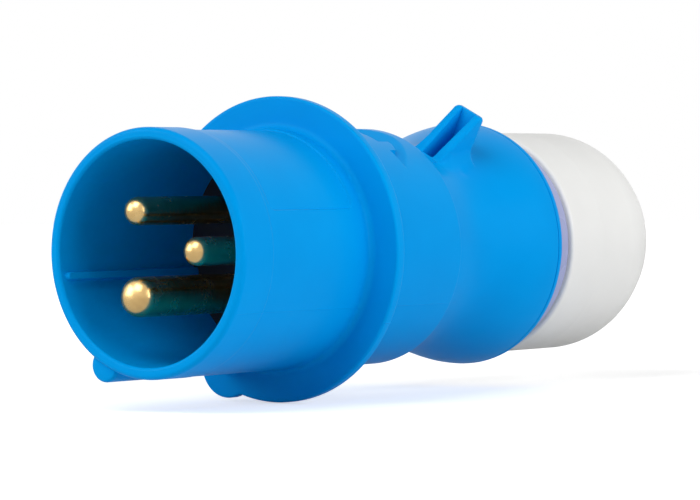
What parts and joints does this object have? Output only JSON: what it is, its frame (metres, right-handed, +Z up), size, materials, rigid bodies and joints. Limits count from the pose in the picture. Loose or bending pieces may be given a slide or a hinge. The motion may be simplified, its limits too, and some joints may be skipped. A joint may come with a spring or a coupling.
{
  "type": "industrial pin and sleeve plug",
  "caption": "Industrial pin and sleeve plug with shrouded brass pins, keyed flange, twist-off rear housing with a hollow fin, and a screwed cable gland nut; lies on flange and nut.",
  "frame": {"origin": "on the surface that the plug lies on, under the middle of its length", "axes": "+Z up, +Y along the plug's axis from the mating rim to the gland nut, +X to the right as seen from the rim"},
  "size_m": [0.055, 0.134, 0.0551],
  "materials": {
    "blue_shell": "moulded, semi-gloss blue",
    "black_insert": "moulded, dark",
    "pin_brass": "turned, domes polished",
    "screw_steel": "zinc plated",
    "seal_rubber": "matt",
    "ring_grey": "smooth lavender grey",
    "nut_grey": "finely ribbed, pale grey",
    "clamp_nylon": "natural nylon"
  },
  "bodies": {
    "shell": {"front_shell": "blue_shell", "contact_carrier": "black_insert", "terminal_cover": "black_insert", "cover_screws": "screw_steel", "line_pin": "pin_brass", "neutral_pin": "pin_brass", "earth_pin": "pin_brass", "line_screw": "screw_steel", "neutral_screw": "screw_steel", "earth_screw": "screw_steel", "line_leaf": "screw_steel", "neutral_leaf": "screw_steel", "earth_leaf": "screw_steel"},
    "housing": {"rear_housing": "blue_shell", "housing_seal": "seal_rubber", "ring_seal": "ring_grey", "cable_bush": "seal_rubber", "clamp_ring": "clamp_nylon"},
    "slip": {"slip_ring": "clamp_nylon"},
    "nut": {"gland_nut": "nut_grey"}
  },
  "joints": [
    {"name": "housing_twist", "type": "hinge", "parent": "shell", "child": "housing", "pos_m": [0, 0, 0.02755], "axis": [0, 1, 0], "range_deg": [0, 30]},
    {"name": "nut_travel", "type": "slide", "parent": "housing", "child": "slip", "axis": [0, 1, 0], "range_m": [0, 0.0075]},
    {"name": "nut_turn", "type": "hinge", "parent": "slip", "child": "nut", "pos_m": [0, 0, 0.02755], "axis": [0, 1, 0], "range_deg": [0, 900]}
  ],
  "couplings": [
    {"joint": "nut_travel", "follows": "nut_turn", "m_per_rad": 0.000477}
  ]
}
